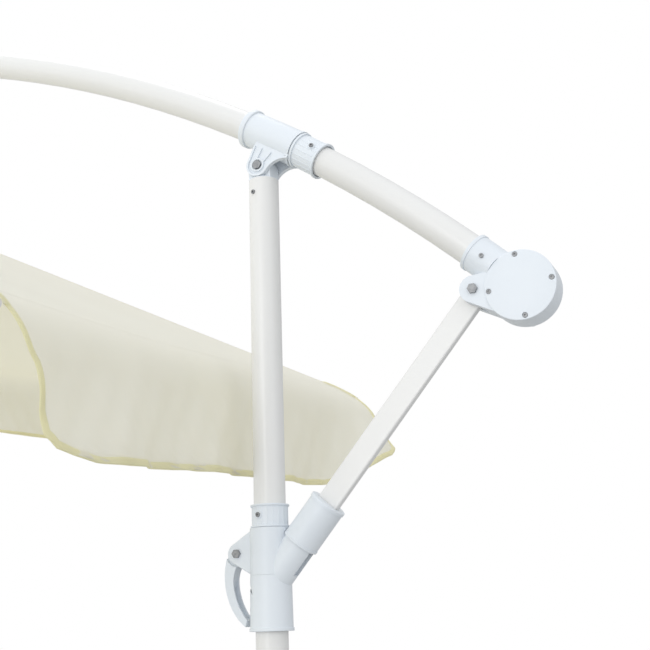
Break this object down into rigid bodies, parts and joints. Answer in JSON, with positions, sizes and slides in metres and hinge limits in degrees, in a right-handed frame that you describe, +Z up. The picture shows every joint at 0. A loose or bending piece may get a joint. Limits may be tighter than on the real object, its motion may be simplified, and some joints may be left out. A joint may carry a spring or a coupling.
{
  "type": "cantilever parasol",
  "caption": "Offset garden parasol: curved tube arm on a mast with rear crank housing, strut and sliding lock, tilted ribbed canopy with a hanging valance, cross base under slabs",
  "frame": {"origin": "on the ground plane at the centre of the base, where the mast's axis meets it", "axes": "+Z up along the mast; the arm lies in the XZ plane with the canopy on the -X side and the crank housing on the +X side; +Y by the right hand, the side the crank handle is on"},
  "size_m": [3.21, 2.674, 2.5056],
  "materials": {
    "frame_paint": "smooth gloss powder coat, slightly warm white",
    "rib_paint": "smooth powder coat, off-white",
    "moulding": "smooth moulded plastic, cool white",
    "drum_plastic": "plain moulded plastic",
    "foot_plastic": "matte moulded plastic",
    "zinc": "zinc plated",
    "crank_metal": "smooth powder coat",
    "cord": "braided cord",
    "concrete": "cast concrete, fine grain",
    "canopy_fabric": "thin woven polyester, cream, lets light through"
  },
  "bodies": {
    "frame": {"base_cross": "frame_paint", "base_end_caps": "foot_plastic", "ballast_slabs": "concrete", "mast_socket": "frame_paint", "base_bolts": "zinc", "mast_tube": "frame_paint", "mast_plug": "moulding", "mast_stop_collar": "moulding", "mast_screws": "zinc"},
    "arm": {"arm_tube": "frame_paint", "arm_sleeve": "moulding", "arm_stop_collar": "moulding", "arm_bolts": "zinc", "crank_housing": "moulding", "housing_cover": "moulding", "arm_screws": "zinc", "arm_cord": "cord", "tip_bracket": "moulding", "tip_pins": "zinc"},
    "strut": {"strut_bar": "frame_paint"},
    "slider": {"slider_body": "moulding", "slider_skirt": "moulding", "lever_bolt": "zinc", "strut_pin": "zinc"},
    "lock": {"lock_sleeve": "moulding"},
    "lever": {"brake_lever": "moulding"},
    "crank": {"cord_drum": "drum_plastic", "crank_handle": "crank_metal"},
    "knob": {"crank_knob": "moulding"},
    "pulley": {"tip_pulley": "drum_plastic"},
    "crown": {"crown_hub": "moulding", "crown_cap": "moulding", "crown_pins": "zinc", "canopy_cord": "cord"},
    "runner": {"runner_hub": "moulding", "runner_pins": "zinc"},
    "rib_1": {"rib_1": "rib_paint", "gore_1": "canopy_fabric"},
    "stretcher_1": {"stretcher_1": "rib_paint"},
    "rib_2": {"rib_2": "rib_paint", "gore_2": "canopy_fabric"},
    "stretcher_2": {"stretcher_2": "rib_paint"},
    "rib_3": {"rib_3": "rib_paint", "gore_3": "canopy_fabric"},
    "stretcher_3": {"stretcher_3": "rib_paint"},
    "rib_4": {"rib_4": "rib_paint", "gore_4": "canopy_fabric"},
    "stretcher_4": {"stretcher_4": "rib_paint"},
    "rib_5": {"rib_5": "rib_paint", "gore_5": "canopy_fabric"},
    "stretcher_5": {"stretcher_5": "rib_paint"},
    "rib_6": {"rib_6": "rib_paint", "gore_6": "canopy_fabric"},
    "stretcher_6": {"stretcher_6": "rib_paint"},
    "rib_7": {"rib_7": "rib_paint", "gore_7": "canopy_fabric"},
    "stretcher_7": {"stretcher_7": "rib_paint"},
    "rib_8": {"rib_8": "rib_paint", "gore_8": "canopy_fabric"},
    "stretcher_8": {"stretcher_8": "rib_paint"}
  },
  "joints": [
    {"name": "arm_tilt", "type": "hinge", "parent": "frame", "child": "arm", "pos_m": [0, 0, 2.04], "axis": [0, 1, 0], "range_deg": [0, 15]},
    {"name": "strut_pivot", "type": "hinge", "parent": "arm", "child": "strut", "pos_m": [0.341, 0, 1.78], "axis": [0, 1, 0], "range_deg": [-28, 0]},
    {"name": "slider_pivot", "type": "hinge", "parent": "strut", "child": "slider", "pos_m": [0.06, 0, 1.452], "axis": [0, 1, 0], "range_deg": [0, 13]},
    {"name": "lock_sleeve_slide", "type": "slide", "parent": "strut", "child": "lock", "axis": [0.6506, 0, 0.7594], "range_m": [0, 0.131]},
    {"name": "brake_lever", "type": "hinge", "parent": "slider", "child": "lever", "pos_m": [-0.05, 0, 1.428], "axis": [0, 1, 0], "range_deg": [0, 60]},
    {"name": "canopy_tilt", "type": "hinge", "parent": "arm", "child": "crown", "pos_m": [-1.3, 0, 2.417], "axis": [0, 1, 0], "range_deg": [0, 10]},
    {"name": "crank_turn", "type": "hinge", "parent": "arm", "child": "crank", "pos_m": [0.41016, 0, 1.77539], "axis": [0, 1, 0], "continuous": true},
    {"name": "knob_spin", "type": "hinge", "parent": "crank", "child": "knob", "pos_m": [0.32859, 0, 1.8084], "axis": [0, 1, 0], "continuous": true},
    {"name": "pulley_spin", "type": "hinge", "parent": "arm", "child": "pulley", "pos_m": [-1.286, 0, 2.44199], "axis": [0, 1, 0], "continuous": true},
    {"name": "rib_1_fold", "type": "hinge", "parent": "crown", "child": "rib_1", "pos_m": [-1.28299, 0.01991, 2.32674], "axis": [-0.3627, 0.9221, 0.135], "range_deg": [0, 70], "deforming": ["gore_1"]},
    {"name": "stretcher_1_fold", "type": "hinge", "parent": "rib_1", "child": "stretcher_1", "pos_m": [-0.78432, 0.25129, 2.08636], "axis": [-0.3627, 0.9221, 0.135], "range_deg": [-140, 0]},
    {"name": "rib_2_fold", "type": "hinge", "parent": "crown", "child": "rib_2", "pos_m": [-1.30286, 0.04043, 2.33221], "axis": [-0.8994, 0.3819, 0.2125], "range_deg": [0, 70], "deforming": ["gore_2"]},
    {"name": "stretcher_2_fold", "type": "hinge", "parent": "rib_2", "child": "stretcher_2", "pos_m": [-1.10823, 0.58594, 2.17553], "axis": [-0.8994, 0.3819, 0.2125], "range_deg": [-140, 0]},
    {"name": "rib_3_fold", "type": "hinge", "parent": "crown", "child": "rib_3", "pos_m": [-1.33133, 0.04043, 2.33816], "axis": [-0.9093, -0.3819, 0.1654], "range_deg": [0, 70], "deforming": ["gore_3"]},
    {"name": "stretcher_3_fold", "type": "hinge", "parent": "rib_3", "child": "stretcher_3", "pos_m": [-1.5724, 0.58594, 2.27251], "axis": [-0.9093, -0.3819, 0.1654], "range_deg": [-140, 0]},
    {"name": "rib_4_fold", "type": "hinge", "parent": "crown", "child": "rib_4", "pos_m": [-1.35172, 0.01991, 2.3411], "axis": [-0.3865, -0.9221, 0.0215], "range_deg": [0, 70], "deforming": ["gore_4"]},
    {"name": "stretcher_4_fold", "type": "hinge", "parent": "rib_4", "child": "stretcher_4", "pos_m": [-1.90493, 0.25129, 2.32046], "axis": [-0.3865, -0.9221, 0.0215], "range_deg": [-140, 0]},
    {"name": "rib_5_fold", "type": "hinge", "parent": "crown", "child": "rib_5", "pos_m": [-1.3521, -0.00912, 2.33932], "axis": [0.3627, -0.9221, -0.135], "range_deg": [0, 70], "deforming": ["gore_5"]},
    {"name": "stretcher_5_fold", "type": "hinge", "parent": "rib_5", "child": "stretcher_5", "pos_m": [-1.91101, -0.22196, 2.29132], "axis": [0.3627, -0.9221, -0.135], "range_deg": [-140, 0]},
    {"name": "rib_6_fold", "type": "hinge", "parent": "crown", "child": "rib_6", "pos_m": [-1.33223, -0.02964, 2.33385], "axis": [0.8994, -0.3819, -0.2125], "range_deg": [0, 70], "deforming": ["gore_6"]},
    {"name": "stretcher_6_fold", "type": "hinge", "parent": "rib_6", "child": "stretcher_6", "pos_m": [-1.5871, -0.55661, 2.20214], "axis": [0.8994, -0.3819, -0.2125], "range_deg": [-140, 0]},
    {"name": "rib_7_fold", "type": "hinge", "parent": "crown", "child": "rib_7", "pos_m": [-1.30376, -0.02964, 2.3279], "axis": [0.9093, 0.3819, -0.1654], "range_deg": [0, 70], "deforming": ["gore_7"]},
    {"name": "stretcher_7_fold", "type": "hinge", "parent": "rib_7", "child": "stretcher_7", "pos_m": [-1.12293, -0.55661, 2.10517], "axis": [0.9093, 0.3819, -0.1654], "range_deg": [-140, 0]},
    {"name": "rib_8_fold", "type": "hinge", "parent": "crown", "child": "rib_8", "pos_m": [-1.28336, -0.00912, 2.32496], "axis": [0.3865, 0.9221, -0.0215], "range_deg": [0, 70], "deforming": ["gore_8"]},
    {"name": "stretcher_8_fold", "type": "hinge", "parent": "rib_8", "child": "stretcher_8", "pos_m": [-0.79041, -0.22196, 2.05721], "axis": [0.3865, 0.9221, -0.0215], "range_deg": [-140, 0]},
    {"name": "runner_hinge", "type": "hinge", "parent": "stretcher_1", "child": "runner", "pos_m": [-1.34324, 0.03845, 2.03836], "axis": [-0.3627, 0.9221, 0.135], "range_deg": [0, 70], "deforming": ["canopy_cord"]}
  ],
  "couplings": [
    {"joint": "strut_pivot", "follows": "arm_tilt", "ratio": -1.838},
    {"joint": "slider_pivot", "follows": "arm_tilt", "ratio": 0.838},
    {"joint": "lock_sleeve_slide", "follows": "arm_tilt", "m_per_rad": 0.497},
    {"joint": "stretcher_1_fold", "follows": "rib_1_fold", "ratio": -2},
    {"joint": "rib_2_fold", "follows": "rib_1_fold", "ratio": 1},
    {"joint": "stretcher_2_fold", "follows": "rib_1_fold", "ratio": -2},
    {"joint": "rib_3_fold", "follows": "rib_1_fold", "ratio": 1},
    {"joint": "stretcher_3_fold", "follows": "rib_1_fold", "ratio": -2},
    {"joint": "rib_4_fold", "follows": "rib_1_fold", "ratio": 1},
    {"joint": "stretcher_4_fold", "follows": "rib_1_fold", "ratio": -2},
    {"joint": "rib_5_fold", "follows": "rib_1_fold", "ratio": 1},
    {"joint": "stretcher_5_fold", "follows": "rib_1_fold", "ratio": -2},
    {"joint": "rib_6_fold", "follows": "rib_1_fold", "ratio": 1},
    {"joint": "stretcher_6_fold", "follows": "rib_1_fold", "ratio": -2},
    {"joint": "rib_7_fold", "follows": "rib_1_fold", "ratio": 1},
    {"joint": "stretcher_7_fold", "follows": "rib_1_fold", "ratio": -2},
    {"joint": "rib_8_fold", "follows": "rib_1_fold", "ratio": 1},
    {"joint": "stretcher_8_fold", "follows": "rib_1_fold", "ratio": -2},
    {"joint": "runner_hinge", "follows": "rib_1_fold", "ratio": 1}
  ]
}
